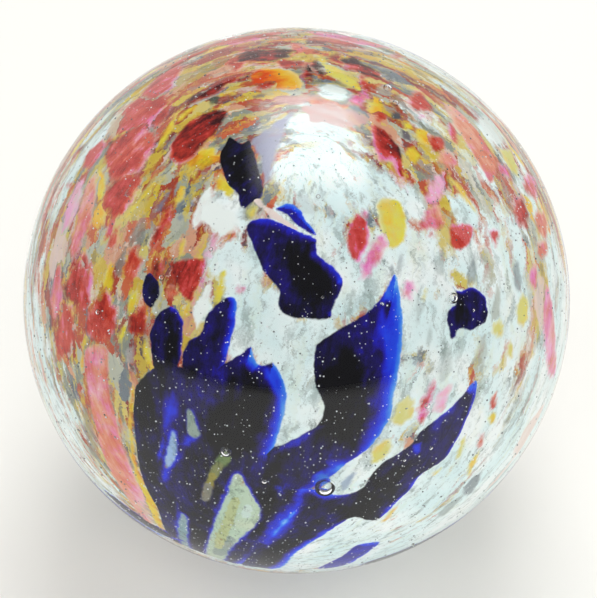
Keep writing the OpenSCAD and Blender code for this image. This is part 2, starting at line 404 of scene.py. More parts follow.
def lay_chip(chips, outline, thin, fringe, depth, layer, edge=0.25, wedge=0.3, shade=0, own="#ffffff",
             ragged=0.09, keen=0, thinnest=0, fade=0.2, cell=CHIP_CELL, dents=(), gaps=(), joined=()):
    """Presses one chip into the core. Its outline is directions on the core; thin is the side where it
    thins out over the fringe's width, in degrees from east, and its other sides do so within the edge's.
    Its depth falls by the wedge's share towards that side, its rim keeps the keen share of its depth, or
    the thinnest on the thin side, and it fades from the ground over the fade's width. Shade chooses
    between its material's two colours, and own is a colour of its own. Dents are places where it is
    thicker or thinner, gaps are places where the ground shows, and joined are the chips it may have run
    together with."""
    outline = np.array(outline)
    centre = outline.mean(0) / np.linalg.norm(outline.mean(0))
    east, north = axes_at(centre)
    loop = rounded(local(outline, centre, east, north))
    low, high = loop.min(0) - MARGIN_CELLS * cell, loop.max(0) + MARGIN_CELLS * cell
    cells = np.maximum(4, np.ceil((high - low) / cell)).astype(int)
    chip = bmesh.new()
    bmesh.ops.create_grid(chip, x_segments=int(cells[0]), y_segments=int(cells[1]), size=0.5)
    flat = np.array([v.co[:2] for v in chip.verts]) * (high - low) + (low + high) / 2
    push = frayed(on_core(flat, centre, east, north))
    inside, away = depth_inside(flat, loop)
    inside += ragged * push
    way = np.array([cos(radians(thin)), sin(radians(thin))])
    reach = (flat[inside > 0] @ way).max(initial=LEAST_REACH)
    side = np.clip(SIDE_GAIN * (away @ way) - SIDE_LOSS, 0, 1)
    rise = np.clip(inside / (edge + (fringe - edge) * side), -1, 3)
    cover = np.clip(inside / fade, -3, 3)
    full = depth * (1 - wedge * np.clip(0.5 + 0.5 * (flat @ way) / reach, 0, 1))
    stain = np.tile(linear(own), (len(flat), 1))

    def within(shapes, roughness):
        for shape, *rest in shapes:
            shape = rounded(local(np.array(shape), centre, east, north))
            if (shape.min(0) <= high).all() and (shape.max(0) >= low).all():
                yield depth_inside(flat, shape)[0] + roughness * push, *rest

    for (into,) in within(zip(joined), ragged):
        rise = np.maximum(rise, np.clip(into / fringe, -1, 3))
        cover = np.maximum(cover, np.clip(into / fade, -3, 3))
    for into, middle, soft in within(dents, DENT_RAGGED):
        share = np.clip(into / soft, 0, 1)
        full += (middle - full) * share * share * (3 - 2 * share)
    least = full * keen * (1 - side) + thinnest * side
    for into, halo, thinned, ground in within(gaps, GAP_RAGGED):
        least = np.where(-into / halo < rise, thinned, least)
        rise = np.minimum(rise, np.clip(-into / halo, -1, 3))
        cover = np.minimum(cover, np.clip(-into / GAP_FADE, -3, 3))
        stain[into > -GAP_FADE] = linear(ground)
    looks = {"thickness": full, "least": least, "rise": rise, "cover": cover, "shade": 0 * full + shade}
    height = np.minimum(LAYER * layer, CHIP_SLOPE * inside)
    where = on_core(flat, centre, east, north) * (CORE_R + height)[:, None] * MM
    kept = {name: chip.verts.layers.float.new(name) for name in looks}
    colour = chip.verts.layers.float_color.new("tint")
    spare = []
    for i, vert in enumerate(chip.verts):
        vert.co = where[i]
        for name, values in kept.items():
            vert[values] = looks[name][i]
        vert[colour] = stain[i]
        if inside[i] < -TRIM_CELLS * cell:
            spare.append(vert)
    bmesh.ops.delete(chip, geom=spare, context="VERTS")
    bmesh.ops.delete(chip, geom=[v for v in chip.verts if not v.link_faces], context="VERTS")
    bmesh.ops.recalc_face_normals(chip, faces=chip.faces)
    if sum(f.normal.dot(f.calc_center_median()) for f in chip.faces) < 0:
        bmesh.ops.reverse_faces(chip, faces=chip.faces)
    bmesh.ops.solidify(chip, geom=chip.faces[:], thickness=CHIP_SINK * MM)
    mesh = bpy.data.meshes.new("chip")
    chip.to_mesh(mesh)
    chip.free()
    chips.from_mesh(mesh)
    bpy.data.meshes.remove(mesh)


def picked_up(outline):
    """A chip's outline from the pixels round it."""
    return [seen_at(x, y) for x, y in outline]


def drawn_out(length, width, corners, taper, roam, seed):
    """The corners of a drop that the draw made long and the heat uneven: each is how far along it and
    how far across it they lie from its middle."""
    for i in range(corners):
        a = 2 * pi * i / corners
        swell = 1 + 0.3 * noise.noise(Vector((cos(a) * roam, sin(a) * roam, seed)))
        yield length / 2 * cos(a) * swell, width / 2 * sin(a) * (1 - taper * cos(a)) * swell


def streak(x, y, length, width, angle, seed):
    """The outline of a drawn-out chip seen at a pixel: its length and width in pixels, and its lean."""
    turn = radians(angle)
    return [seen_at(x + along * cos(turn) - across * sin(turn), y - along * sin(turn) - across * cos(turn))
            for along, across in drawn_out(length, width, 14, 0.2, 1.9, seed * 3.7)]


def egg(azimuth, height, lean, length, width, seed):
    """The outline of a chip that the draw left egg-shaped, leaning from north in degrees."""
    centre = direction(azimuth, height)
    turn = radians(lean)
    flat = [(across * cos(turn) + along * sin(turn), along * cos(turn) - across * sin(turn))
            for along, across in drawn_out(length, width, 12, 0.25, 1.7, seed * 3.1)]
    return on_core(np.array(flat), centre, *axes_at(centre))


def draw_lean(azimuth, height):
    """How far the drawn lines lean from north at a place, in degrees."""
    centre = direction(azimuth, height)
    _, here, side = flow(centre)
    slope = [flow(centre + 0.004 * way, side)[1] - here for way in axes_at(centre)]
    return degrees(np.arctan2(-slope[1], slope[0]))


COBALT_OUTLINES = [
    # (outline in pixels, thin side, fringe, depth, depth at the thin side)
    ([(229, 135), (236, 140), (242, 143), (250, 140), (253, 148), (256, 156), (259, 166), (261, 174),
      (264, 187), (261, 198), (251, 205), (245, 210), (239, 205), (238, 196), (233, 190), (229, 186),
      (224, 177), (219, 159), (224, 146)], 60, 0.25, 0.88, 0.75),
    ([(246, 226), (258, 218), (272, 219), (290, 226), (315, 238), (317, 246), (319, 255), (333, 266),
      (343, 279), (341, 292), (333, 310), (329, 320), (305, 319), (290, 318), (278, 308), (278, 290),
      (266, 276), (259, 262), (252, 246)], 55, 0.9, 0.82, 0.42),
    ([(275, 209), (289, 203), (298, 207), (308, 221), (317, 236), (300, 229), (286, 216)], 80, 0.8, 0.66,
      0.12),
    ([(394, 274), (400, 290), (403, 320), (403, 345), (399, 372), (394, 400), (391, 416), (382, 432),
      (366, 451), (346, 464), (338, 472), (312, 488), (288, 492), (264, 490), (250, 476), (252, 456),
      (270, 448), (285, 442), (300, 434), (318, 423), (323, 408), (320, 396), (314, 385), (313, 366),
      (316, 345), (330, 334), (346, 324), (366, 312), (380, 298)], 8, 1.7, 0.8, 0.12),
    ([(451, 285), (459, 290), (469, 286), (479, 290), (485, 296), (487, 306), (488, 313), (486, 322),
      (478, 327), (469, 332), (462, 329), (457, 332), (455, 338), (450, 339), (448, 332), (446, 317),
      (448, 309), (454, 304), (455, 296), (453, 290)], 45, 0.45, 0.8, 0.45),
    ([(475, 379), (477, 388), (472, 406), (464, 425), (453, 446), (442, 461), (423, 473), (410, 489),
      (397, 502), (380, 518), (366, 520), (353, 517), (334, 528), (324, 535), (310, 543), (294, 555),
      (278, 568), (258, 572), (240, 566), (240, 545), (252, 520), (262, 496), (280, 484), (312, 488),
      (338, 494), (359, 489), (372, 473), (386, 459), (409, 445), (418, 433), (437, 417), (451, 406),
      (462, 394)], 30, 0.9, 0.82, 0.12),
    ([(146, 274), (156, 273), (160, 284), (159, 298), (152, 308), (144, 302), (142, 288)], 90, 0.5, 0.84,
      0.7),
    ([(168, 306), (176, 308), (184, 320), (184, 332), (183, 345), (179, 366), (166, 372), (154, 368),
      (151, 355), (150, 342), (150, 331), (158, 314)], 60, 0.5, 0.84, 0.55),
    ([(221, 300), (229, 296), (237, 300), (237, 317), (231, 343), (227, 360), (214, 378), (186, 376),
      (182, 358), (188, 341), (202, 331), (206, 315)], 50, 0.9, 0.8, 0.12),
    ([(134, 392), (137, 384), (143, 376), (152, 368), (166, 364), (184, 366), (206, 368), (226, 362),
      (240, 353), (252, 346), (259, 364), (274, 362), (284, 379), (288, 396), (285, 414), (279, 436),
      (272, 456), (280, 476), (292, 500), (280, 530), (262, 552), (240, 568), (216, 566), (200, 560),
      (184, 553), (168, 542), (163, 526), (157, 508), (148, 492), (140, 471), (136, 446), (133, 420)], 12,
      1.2, 0.8, 0.1),
    ([(380, 541), (372, 549), (362, 556), (350, 563), (331, 568), (316, 568), (328, 562), (342, 555),
      (352, 547), (362, 543)], 60, 0.8, 0.62, 0.2),
]
# Where the cobalt lies thicker or was pulled thin: (x, y, length, width, lean, thickness, softness).
COBALT_DEPTHS = [
    (342, 394, 116, 58, 84, 1.0, 1.3), (318, 450, 60, 26, 25, 0.86, 1.2), (304, 274, 84, 48, 130, 1.0, 1.0),
    (240, 412, 110, 80, 80, 1.0, 1.6), (150, 430, 110, 28, 97, 0.95, 1.0),
    (206, 508, 90, 36, 82, 0.94, 1.0), (266, 498, 90, 34, 70, 0.95, 1.0), (376, 494, 100, 34, 40, 1.0, 1.0),
    (290, 542, 100, 24, 34, 0.95, 0.8), (206, 354, 60, 24, 62, 0.95, 0.8),
    (240, 172, 52, 26, 112, 1.0, 0.7), (462, 316, 28, 24, 90, 0.92, 0.5), (172, 345, 50, 18, 80, 0.95, 0.6),
    (171, 408, 48, 26, 86, 0.42, 1.2), (191, 440, 26, 20, 30, 0.4, 0.9), (182, 453, 34, 12, 62, 0.54, 0.7),
    (168, 470, 34, 18, 80, 0.46, 0.9), (162, 447, 34, 10, 80, 0.44, 0.5), (178, 508, 22, 10, 100, 0.5, 0.6),
    (181, 376, 40, 8, 88, 0.66, 0.5), (252, 354, 30, 16, 60, 0.5, 0.7), (301, 492, 26, 18, 40, 0.44, 0.8),
    (284, 521, 66, 26, 46, 0.46, 0.9), (285, 521, 44, 9, 46, 0.1, 0.5), (271, 378, 44, 18, 118, 0.4, 0.8),
    (282, 402, 44, 12, 95, 0.3, 0.6), (262, 432, 50, 16, 75, 0.76, 0.8), (383, 326, 90, 20, 96, 0.5, 1.0),
    (392, 398, 60, 14, 84, 0.5, 0.8), (376, 442, 60, 14, 48, 0.5, 0.8), (300, 438, 70, 14, 28, 0.52, 0.8),
    (417, 447, 16, 13, 40, 0.44, 0.5), (470, 386, 22, 12, 65, 0.3, 0.6), (446, 410, 50, 18, 52, 0.62, 0.8),
    (340, 280, 10, 10, 0, 0.15, 0.5), (232, 488, 60, 9, 66, 0.42, 0.6), (235, 308, 26, 8, 75, 0.4, 0.6),
    (225, 490, 60, 8, 64, 0.36, 0.7), (322, 478, 26, 20, 20, 0.3, 0.6), (391, 286, 40, 18, 72, 0.3, 0.5),
    (336, 468, 26, 12, 25, 0.44, 0.6),
]
COBALT_GAPS = [
    # (outline in pixels, halo, thickness at its edge, colour of the ground in it)
    ([(237, 474), (246, 486), (254, 500), (259, 511), (254, 523), (243, 533), (231, 545), (221, 561),
      (209, 557), (212, 537), (221, 513), (229, 493)], 0.5, 0.42, "#d0d8c0"),
    ([(224, 538), (232, 538), (224, 552), (216, 553), (219, 544)], 0.5, 0.42, "#a9afa6"),
    ([(235, 500), (236, 503), (227, 528), (219, 546), (218, 544), (226, 522)], 0.5, 0.42, "#d0cb96"),
    ([(249, 506), (250, 509), (246, 516), (245, 513)], 0.5, 0.42, "#dfe4da"),
    ([(189, 413), (192, 414), (198, 432), (191, 433)], 0.4, 0.6, "#a8b0a6"),
    ([(174, 432), (175, 454), (167, 466), (170, 448)], 0.5, 0.4, "#aec4ea"),
    ([(182, 516), (186, 523), (188, 548), (184, 544)], 0.5, 0.4, "#9fb2b8"),
    ([(226, 452), (229, 460), (220, 467), (217, 461)], 0.3, 0.8, "#7f8f5c"),
    ([(218, 463), (221, 467), (214, 478), (210, 474)], 0.3, 0.8, "#8a8a5a"),
    ([(211, 475), (214, 478), (211, 488), (206, 486)], 0.3, 0.8, "#a4944a"),
    ([(207, 485), (211, 488), (208, 498), (204, 499), (204, 491)], 0.3, 0.8, "#968a7c"),
]
# Cobalt on the rest of the core: (azimuth, height, length, width), in degrees and millimetres.
COBALT_EGGS = [
    (40, -20, 6, 3.2), (60, -48, 10, 4), (88, -30, 8, 3.6), (112, -52, 9, 4.2), (135, -28, 7, 3),
    (160, -56, 8, 3.4), (-168, -58, 7, 2.6), (70, 8, 6, 3), (120, 2, 5, 2.8), (20, -66, 9, 3.4),
    (96, -4, 4, 2),
]
COBALT_RAMP = [
    (0.0, "#cfe6f6"), (0.1, "#86c2f6"), (0.2, "#428af2"), (0.32, "#2650ee"), (0.46, "#2434de"),
    (0.6, "#231fae"), (0.72, "#201868"), (0.84, "#17143a"), (0.93, "#10101c"), (1.0, "#0d0d12"),
]


def chip_body(nodes, grain):
    """How thick a chip is, and how far it hides the ground. Its thickness varies by the grain's share, in
    bands that the draw left 3 mm long and 0.8 mm wide, in swirls of 1.1 mm and in clouds of 4 mm, and
    its edge is broken up at half a millimetre, as the heat runs it out."""
    place = add(nodes, "TexCoord").outputs["Object"]
    full, least, rise, cover = (add(nodes, "Attribute", attribute_name=name).outputs["Fac"]
                                for name in ("thickness", "least", "rise", "cover"))
    draw = add(nodes, "Attribute", attribute_name="draw").outputs["Vector"]
    draw = add(nodes, "VectorMath", {0: draw, 1: (7, 26, 1)}, operation="MULTIPLY").outputs[0]
    bands = add(nodes, "TexNoise", {"Vector": draw, "Scale": 1, "Detail": 4, "Roughness": 0.65,
                                    "Distortion": 0.4})
    swirls = add(nodes, "TexNoise", {"Vector": place, "Scale": 900, "Detail": 5, "Roughness": 0.7})
    clouds = add(nodes, "TexNoise", {"Vector": place, "Scale": 230, "Detail": 2})
    mottle = add(nodes, "Math", {0: bands.outputs["Fac"], 1: swirls.outputs["Fac"]}).outputs[0]
    mottle = add(nodes, "Math", {0: mottle, 1: clouds.outputs["Fac"]}).outputs[0]
    mottle = add(nodes, "MapRange", {"Value": mottle, "From Min": 1.05, "From Max": 1.95, "To Min": 1 - grain,
                                     "To Max": 1 + grain})
    thick = add(nodes, "MapRange", {"Value": rise, "To Min": least, "To Max": full})
    body = add(nodes, "Math", {0: thick.outputs[0], 1: mottle.outputs[0]}, operation="MULTIPLY").outputs[0]
    frays = add(nodes, "TexNoise", {"Vector": place, "Scale": 2000, "Detail": 4, "Roughness": 0.7})
    cover = add(nodes, "Math", {0: cover, 1: frays.outputs["Fac"]}).outputs[0]
    cover = add(nodes, "MapRange", {"Value": cover, "From Min": 0.5, "From Max": 1.5},
                interpolation_type="SMOOTHSTEP").outputs[0]
    thinned = add(nodes, "MapRange", {"Value": body, "From Max": 0.12}).outputs[0]
    return body, add(nodes, "Math", {0: cover, 1: thinned}, operation="MULTIPLY").outputs[0]


def chip_colour(nodes, grain, ramp, other=None):
    """The colour of a chip over the ground: up the ramp as it thickens. A second ramp is mixed in by the
    chip's shade, which also wanders within a chip, in patches of 1.5 mm."""

    def mixed(share, under, over, **settings):
        return add(nodes, "Mix", {"Factor": share, "A": under, "B": over}, data_type="RGBA",
                   **settings).outputs["Result"]

    body, cover = chip_body(nodes, grain)
    colour = add(nodes, "ValToRGB", {"Fac": body}, ramp).outputs["Color"]
    if other:
        place = add(nodes, "TexCoord").outputs["Object"]
        shade = add(nodes, "Attribute", attribute_name="shade").outputs["Fac"]
        patch = add(nodes, "TexNoise", {"Vector": place, "Scale": 650, "Detail": 4, "Roughness": 0.6})
        patch = add(nodes, "MapRange", {"Value": patch.outputs["Fac"], "From Min": 0.3, "From Max": 0.7,
                                        "To Min": -0.6, "To Max": 0.6})
        shade = add(nodes, "Math", {0: shade, 1: patch.outputs[0]}, use_clamp=True).outputs[0]
        second = add(nodes, "ValToRGB", {"Fac": body}, other).outputs["Color"]
        colour = mixed(shade, colour, second)
    stain = add(nodes, "Attribute", attribute_name="tint").outputs["Color"]
    return mixed(cover, mixed(1.0, opal_ground(nodes), stain, blend_type="MULTIPLY"), colour)


dents = [(streak(x, y, length, width, lean, number), middle, soft)
         for number, (x, y, length, width, lean, middle, soft) in enumerate(COBALT_DEPTHS)]
gaps = [(picked_up(outline), *rest) for outline, *rest in COBALT_GAPS]
lobes = [picked_up(outline) for outline, *_ in COBALT_OUTLINES]
cobalt = bmesh.new()
for number, (_, thin, fringe, depth, thinnest) in enumerate(COBALT_OUTLINES):
    lay_chip(cobalt, lobes[number], thin, fringe, edge=0.15, depth=depth, wedge=0, layer=COBALT_LAYER,
             keen=0.93, thinnest=thinnest, fade=0.16, cell=COBALT_CELL, dents=dents, gaps=gaps,
             joined=lobes[:number] + lobes[number + 1:])
for number, (azimuth, height, length, width) in enumerate(COBALT_EGGS):
    lean = draw_lean(azimuth, height)
    lay_chip(cobalt, egg(azimuth, height, lean, length, width, number), 90 - lean, fringe=1.2, depth=0.95,
             wedge=0.2, layer=COBALT_LAYER + LAYER_STEP * number)
cobalt_tree = BVHTree.FromBMesh(cobalt)
cobalt = dress("cobalt_chips_fused", cobalt)
# Cobalt glass: the deepest of the colours, black where it is thick, then violet, royal blue and azure.
cobalt.data.materials.append(cased_glass("cobalt_glass", lambda nodes: chip_colour(nodes, 0.26, COBALT_RAMP)))
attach(cobalt, "root")
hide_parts("cobalt_chips")

# -------------------------------------------------------------- ruby chips
# Chips of ruby and orange-red glass, smaller than the cobalt, with a pink tail where the draw
# pulled the copper-ruby thin. Most of them lie on the left, over the top and at the upper right.
RUBY_OUTLINES = [
    # (outline in pixels, thin side, fringe, depth, shade: 0 crimson to 1 orange)
    ([(370, 124), (380, 126), (392, 136), (402, 150), (406, 166), (403, 180), (396, 176), (390, 164),
      (378, 162), (371, 148)], 160, 0.8, 0.8, 0.1),
    ([(354, 214), (364, 216), (371, 228), (369, 250), (358, 265), (348, 256), (345, 236)], -60, 0.6, 0.44,
      0.1),
    ([(168, 152), (178, 132), (194, 119), (214, 109), (231, 111), (224, 124), (214, 137), (202, 150),
      (188, 163), (173, 165)], -40, 0.7, 0.86, 0.4),
    ([(170, 264), (186, 257), (205, 258), (207, 270), (200, 286), (194, 303), (184, 300), (176, 288)], 30,
      0.3, 0.92, 0.1),
    ([(86, 346), (100, 342), (111, 350), (111, 388), (119, 420), (126, 448), (139, 480), (151, 507),
      (163, 533), (155, 533), (140, 515), (122, 490), (106, 462), (96, 430), (88, 395), (84, 365)], -80,
      1.5, 0.26, 0.8),
    ([(441, 104), (452, 106), (466, 118), (478, 132), (488, 148), (498, 168), (495, 180), (490, 186),
      (482, 174), (474, 160), (462, 140), (450, 122)], 60, 0.8, 0.27, 0.85),
    ([(447, 226), (460, 222), (473, 226), (472, 242), (460, 253), (450, 246)], 0, 0.4, 0.5, 0.4),
]
RUBY_STREAKS = [
    # (x, y, length, width, lean, depth, shade)
    (144, 116, 70, 30, 50, 0.48, 0.5), (161, 118, 38, 10, 52, 0.6, 0.8), (150, 140, 20, 7, 50, 0.3, 0),
    (221, 117, 30, 8, 35, 0.7, 0.4), (132, 151, 62, 34, 50, 0.6, 0.6), (122, 197, 50, 24, 64, 0.58, 0.4),
    (133, 190, 26, 12, 55, 0.55, 0.9), (162, 228, 50, 14, 68, 0.72, 0.35), (156, 247, 20, 10, 65, 0.5, 1),
    (110, 232, 26, 8, 70, 0.4, 0), (115, 238, 30, 12, 68, 0.4, 0.9), (74, 206, 56, 13, 68, 0.13, 0),
    (70, 186, 16, 9, 70, 0.5, 0.1), (86, 214, 84, 16, 74, 0.3, 0.8), (82, 268, 34, 24, 80, 0.8, 0.5),
    (66, 330, 60, 20, 84, 0.5, 0.7), (98, 370, 40, 14, 84, 0.55, 0.8), (134, 264, 38, 20, 85, 0.62, 1),
    (80, 285, 50, 26, 85, 0.6, 0.2), (104, 317, 58, 28, 78, 0.68, 0.75), (140, 321, 32, 22, 80, 0.62, 1),
    (173, 294, 18, 18, 0, 0.55, 1), (202, 284, 48, 8, 66, 0.33, 0), (212, 246, 30, 12, 75, 0.14, 0),
    (242, 290, 12, 11, 0, 0.32, 0), (121, 425, 28, 10, 100, 0.5, 1), (241, 62, 30, 14, 30, 0.66, 0.8),
    (268, 56, 64, 18, 3, 0.8, 0.3), (242, 52, 14, 9, 10, 0.4, 1), (298, 49, 26, 9, -5, 0.4, 1),
    (290, 64, 34, 10, -4, 0.66, 0.5), (309, 70, 28, 16, 75, 0.97, 0.1), (212, 91, 68, 10, 28, 0.78, 0.2),
    (266, 86, 26, 9, 8, 0.62, 0.9), (340, 60, 26, 11, -25, 0.66, 0.8), (356, 68, 26, 12, -20, 0.92, 0),
    (365, 87, 32, 12, -65, 0.62, 0.3), (360, 98, 26, 16, 30, 0.33, 0.1), (250, 38, 110, 8, 10, 0.4, 0.4),
    (345, 39, 100, 8, -12, 0.3, 0.3), (381, 118, 14, 14, 0, 0.5, 1), (402, 184, 18, 10, -60, 0.2, 0),
    (420, 103, 28, 18, -40, 0.5, 0.7), (422, 118, 12, 8, 0, 0.3, 0), (438, 144, 24, 16, -45, 0.55, 0.8),
    (446, 161, 28, 18, -50, 0.2, 0.9), (445, 182, 24, 11, -70, 0.5, 1), (436, 188, 36, 22, 75, 0.16, 0),
    (433, 218, 36, 25, 80, 0.34, 0.5), (432, 234, 14, 12, 0, 0.5, 0.2), (494, 236, 20, 11, -80, 0.45, 0.1),
    (453, 135, 26, 10, -60, 0.4, 0), (504, 171, 20, 10, -60, 0.35, 0), (520, 213, 36, 14, -75, 0.5, 0.3),
    (540, 224, 36, 12, -75, 0.36, 0.9), (530, 187, 32, 13, -68, 0.4, 0.2), (397, 57, 16, 8, -25, 0.5, 0.6),
    (419, 245, 12, 5, 90, 0.5, 0.2), (542, 250, 24, 12, -85, 0.4, 1), (533, 277, 28, 10, -85, 0.35, 0.1),
    (409, 290, 24, 17, 80, 0.19, 0), (375, 254, 52, 20, 68, 0.27, 0), (365, 214, 14, 12, 60, 0.3, 0),
    (426, 402, 46, 14, 66, 0.36, 0.1), (441, 397, 36, 16, 60, 0.1, 0.1), (493, 400, 20, 9, 70, 0.5, 1),
    (481, 440, 22, 10, 72, 0.5, 0.9), (548, 330, 90, 12, 92, 0.25, 0.3), (494, 492, 60, 8, 50, 0.3, 0.9),
    (158, 268, 24, 12, 80, 1, 0.2), (95, 155, 40, 12, 55, 0.4, 0.3), (164, 84, 50, 16, 38, 0.45, 0.3),
    (58, 290, 60, 12, 85, 0.3, 0.5), (266, 56, 60, 14, 6, 1.15, 0.9), (318, 70, 24, 13, -50, 1.1, 0.8),
    (361, 69, 46, 12, -26, 1.15, 0.5),
]
RUBY_RAMP = [
    (0.0, "#f6dce6"), (0.14, "#f2b2d8"), (0.25, "#e87cc0"), (0.38, "#d65456"), (0.54, "#c43a34"),
    (0.72, "#962c26"), (0.88, "#5a2024"), (1.0, "#38141a"),
]
EMBER_RAMP = [
    (0.0, "#f0d8c8"), (0.14, "#e9b096"), (0.26, "#e08668"), (0.4, "#d45a42"), (0.54, "#c63e2e"),
    (0.72, "#982e28"), (0.88, "#6c2a26"), (1.0, "#461c1a"),
]
RUBY_LAYER = 7.2
GOLDEN_ANGLE = 137.508
RUBY_FINISH = {"ragged": 0.28, "keen": 0.8, "fade": 0.7}
rng = np.random.default_rng(7)


def lay_streaks(chips, streaks, seed, grown, thin, turn, layer, **finish):
    """Lays small drawn-out chips, grown by these shares in length and in width, and each a little over
    the one before it. Their thin sides turn about one side, and the larger ones thin out more slowly."""
    for number, (x, y, length, width, lean, depth, shade) in enumerate(streaks):
        outline = streak(x, y, grown[0] * length, grown[1] * width, lean, seed + number)
        lay_chip(chips, outline, thin + turn * sin(number), 0.3 + 0.013 * min(length, 2 * width), edge=0.3,
                 depth=depth, wedge=0.2, shade=shade, layer=layer + LAYER_STEP * number, **finish)


def strew(chips, places, start, lengths, widths, seed, layer, **finish):
    """Strews small chips evenly over the part of the core that is turned away, where it has frit on it,
    with random lengths and widths in millimetres. The places step round the ball by the golden angle,
    and the layers start again at every quarter of them."""
    for number in range(places):
        azimuth = (start + number * GOLDEN_ANGLE) % 360 - 180
        height = degrees(asin(1 - (2 * number + 1) / places))
        length, width = rng.uniform(*lengths), rng.uniform(*widths)
        depth, shade = rng.uniform(0.4, 0.9), rng.random()
        here = direction(azimuth, height)
        if here @ EYE < -0.2 and frit_share(here) > 0.6:
            lean = draw_lean(azimuth, height)
            lay_chip(chips, egg(azimuth, height, lean, length, width, seed + number), 90 - lean, fringe=0.5,
                     depth=depth, shade=shade, layer=layer + LAYER_STEP * (number % (places // 4)), **finish)


ruby = bmesh.new()
for number, (outline, thin, fringe, depth, shade) in enumerate(RUBY_OUTLINES):
    lay_chip(ruby, picked_up(outline), thin, fringe, depth=depth, shade=shade, layer=15 + LAYER_STEP * number,
             ragged=0.16, keen=0.45, fade=0.4)
lay_streaks(ruby, RUBY_STREAKS, 0, (1.12, 1.16), 60, 40, RUBY_LAYER, **RUBY_FINISH)
strew(ruby, 240, 20, (1.6, 4.2), (0.9, 2.0), 0, RUBY_LAYER, **RUBY_FINISH)
ruby = dress("ruby_chips_fused", ruby)
# Copper-ruby glass: pink and clear where it is thin, then red, and nearly black where it is thickest.
# The orange-red glass beside it goes from peach to the same dark red.
ruby.data.materials.append(cased_glass(
    "ruby_glass", lambda nodes: chip_colour(nodes, 0.7, RUBY_RAMP, EMBER_RAMP)))
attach(ruby, "root")
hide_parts("ruby_chips")

# ------------------------------------------------------------- amber chips
# Chips of yellow and amber glass, thinner and softer-edged than the ruby, that lie beside it and
# under it. They were picked up from the same tray of frit and pressed in with the same roll.
AMBER_OUTLINES = [
    # (outline in pixels, thin side, fringe, depth, wedge, shade: 0 lemon to 1 orange)
    ([(374, 204), (388, 196), (402, 202), (408, 222), (404, 244), (392, 250), (380, 240)], 120, 0.8, 0.5,
      0.3, 0),
    ([(249, 74), (258, 69), (275, 68), (292, 70), (303, 76), (306, 88), (295, 92), (276, 90), (256, 88),
      (249, 82)], 180, 1.0, 1.0, 0.75, 1.0),
    ([(129, 395), (134, 380), (137, 400), (134, 422), (137, 444), (141, 470), (150, 491), (159, 506),
      (165, 525), (172, 540), (164, 538), (152, 518), (141, 497), (134, 475), (129, 450), (127, 420)], 180,
      0.4, 0.7, 0.3, 0.45),
]
AMBER_STREAKS = [
    # (x, y, length, width, lean, depth, shade)
    (142, 135, 20, 9, 80, 0.5, 0.3), (168, 131, 46, 8, 58, 0.75, 0.1), (190, 111, 34, 8, 38, 0.7, 0.1),
    (138, 165, 22, 6, 42, 0.5, 0.4), (142, 199, 56, 7, 50, 0.8, 0.1), (100, 186, 34, 13, 80, 0.6, 0.3),
    (100, 214, 30, 16, 75, 0.42, 0.9), (204, 158, 38, 21, 15, 0.75, 0.45), (194, 175, 14, 9, 60, 0.6, 0.2),
    (225, 188, 28, 17, -55, 0.75, 0.05), (254, 212, 18, 14, 60, 0.4, 0.1), (183, 246, 22, 8, 75, 0.45, 0.1),
    (180, 196, 24, 10, 65, 0.5, 0.15), (221, 286, 34, 14, 82, 0.5, 0), (109, 278, 38, 11, 82, 0.75, 0.15),
    (134, 300, 28, 10, 68, 0.6, 0.15), (123, 334, 22, 10, 65, 0.55, 0.1), (148, 354, 36, 11, 100, 0.7, 0.1),
    (187, 308, 14, 9, 60, 0.7, 0.6), (87, 336, 28, 6, 75, 0.7, 0.6), (83, 358, 34, 6, 88, 0.7, 0.6),
    (229, 94, 24, 6, 10, 0.6, 0.1), (323, 62, 18, 10, -40, 0.6, 0), (341, 78, 54, 12, -28, 0.4, 0),
    (376, 108, 30, 16, -50, 0.6, 0.6), (408, 127, 15, 9, -25, 0.75, 0), (423, 137, 26, 14, -50, 0.6, 0.5),
    (412, 156, 20, 15, -60, 0.8, 0), (464, 196, 46, 8, -54, 0.45, 0.15), (509, 160, 34, 10, -62, 0.3, 0),
    (529, 210, 36, 8, -68, 0.5, 0.5), (522, 309, 34, 13, 92, 0.4, 0.2), (497, 328, 20, 14, 80, 0.3, 0.1),
    (510, 349, 24, 8, 85, 0.3, 0.1), (424, 294, 16, 7, 80, 0.3, 0), (404, 409, 34, 22, 60, 0.22, 0),
    (382, 450, 34, 16, 48, 0.28, 0), (492, 417, 16, 9, 70, 0.5, 0.3), (473, 462, 30, 7, 65, 0.5, 0.4),
    (461, 446, 30, 8, 65, 0.35, 0), (436, 472, 16, 6, 40, 0.6, 0.15), (391, 512, 26, 5, 45, 0.6, 0.4),
    (430, 546, 60, 8, 28, 0.4, 0.2),
]
LEMON_RAMP = [
    (0.0, "#ececc0"), (0.25, "#dcd880"), (0.5, "#e6da50"), (0.8, "#e0c62c"), (1.0, "#b8962a"),
]
HONEY_RAMP = [
    (0.0, "#f0dca0"), (0.25, "#ecc558"), (0.5, "#efb430"), (0.75, "#ea8428"), (1.0, "#dc4a20"),
]
AMBER_LAYER = 2.5
AMBER_FINISH = {"ragged": 0.2, "keen": 0.6, "fade": 0.5}

amber = bmesh.new()
for number, (outline, thin, fringe, depth, wedge, shade) in enumerate(AMBER_OUTLINES):
    lay_chip(amber, picked_up(outline), thin, fringe, depth=depth, wedge=wedge, shade=shade,
             layer=7 + LAYER_STEP * number, ragged=0.16, keen=0.7, fade=0.4)
lay_streaks(amber, AMBER_STREAKS, 70, (1.1, 1.12), 90, 60, AMBER_LAYER, **AMBER_FINISH)
strew(amber, 160, 75, (1.4, 3.6), (0.8, 1.7), 60, AMBER_LAYER, wedge=0.2, **AMBER_FINISH)
amber = dress("amber_chips_fused", amber)
